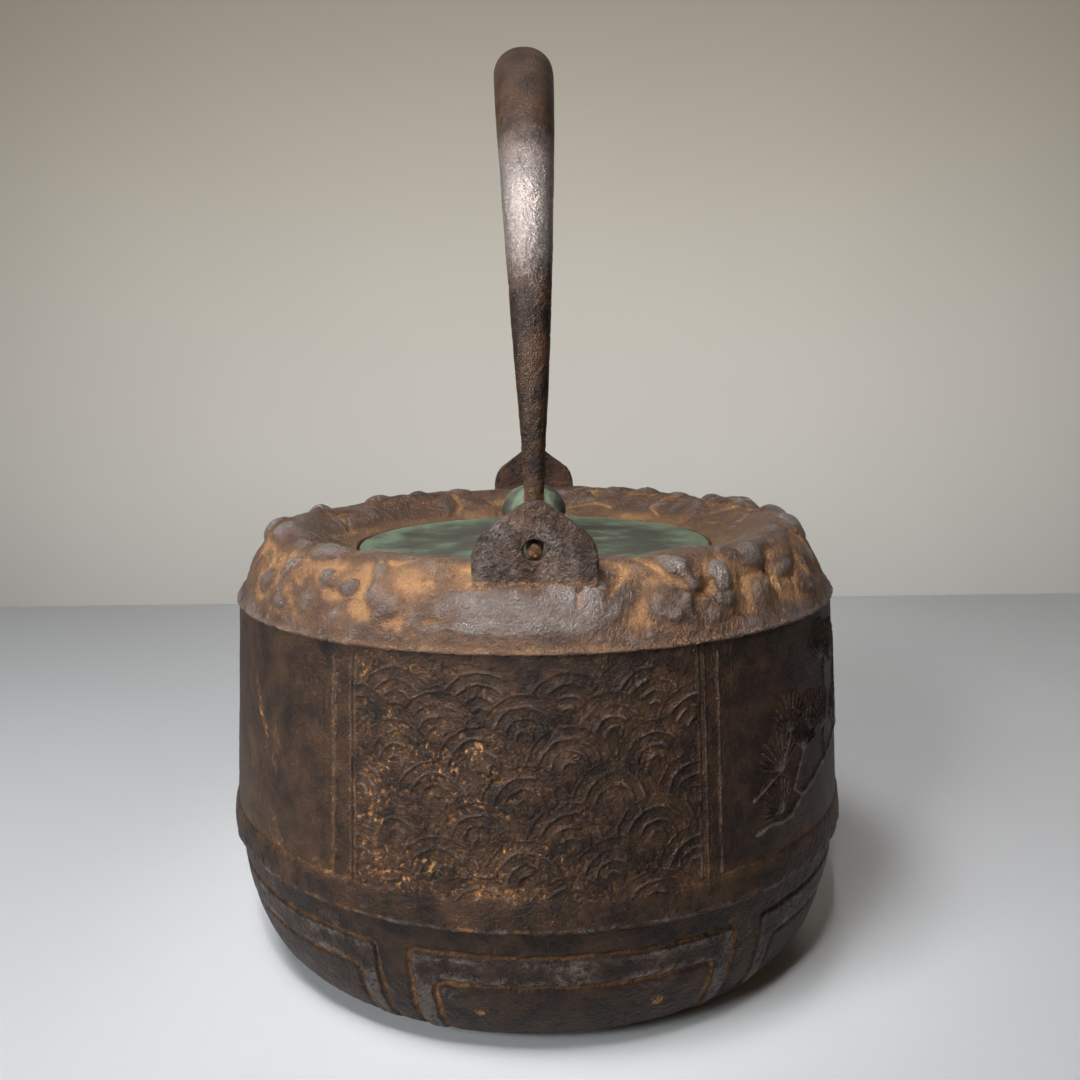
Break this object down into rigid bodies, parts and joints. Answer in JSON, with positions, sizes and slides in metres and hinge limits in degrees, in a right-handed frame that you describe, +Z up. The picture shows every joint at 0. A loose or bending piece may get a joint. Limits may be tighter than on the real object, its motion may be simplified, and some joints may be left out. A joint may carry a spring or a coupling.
{
  "type": "tea kettle",
  "caption": "Round cast iron tea kettle with a rocky shoulder, short spout, swinging arched handle and a lift-off patinated metal lid with a bud-shaped knob.",
  "frame": {"origin": "centre of the flat base, on the surface that the kettle stands on", "axes": "+Z up, +Y towards the spout; the handle's two lugs lie on the Y axis and the handle swings about a line along Y"},
  "size_m": [0.1806, 0.2152, 0.25],
  "materials": {
    "body_iron": "rough cast iron, brown rust in the hollows",
    "lug_iron": "granular cast iron",
    "handle_iron": "hammered iron with a brown skin",
    "hook_iron": "forged iron, rusted",
    "lid_bronze": "copper alloy with a green patina",
    "knob_bronze": "copper alloy with a green patina",
    "pin_iron": "rusted iron"
  },
  "bodies": {
    "kettle": {"kettle_body": "body_iron", "core_chaplets": "body_iron", "spout": "body_iron", "rear_lug": "lug_iron", "spout_lug": "lug_iron"},
    "handle": {"handle_bow": "handle_iron", "rear_hook": "hook_iron", "spout_hook": "hook_iron"},
    "lid": {"lid_plate": "lid_bronze", "lid_flange": "lid_bronze", "knob_seat": "lid_bronze"},
    "knob": {"knob": "knob_bronze", "knob_pin": "pin_iron", "knob_washer": "lid_bronze"}
  },
  "joints": [
    {"name": "handle_swing", "type": "hinge", "parent": "kettle", "child": "handle", "pos_m": [0, 0, 0.1239], "axis": [0, 1, 0], "range_deg": [-80, 80]},
    {"name": "lid_lift", "type": "slide", "parent": "kettle", "child": "lid", "axis": [0, 0, 1], "range_m": [0, 0.06]},
    {"name": "knob_spin", "type": "hinge", "parent": "lid", "child": "knob", "pos_m": [0, 0, 0.1134], "axis": [0, 0, 1], "continuous": true}
  ]
}
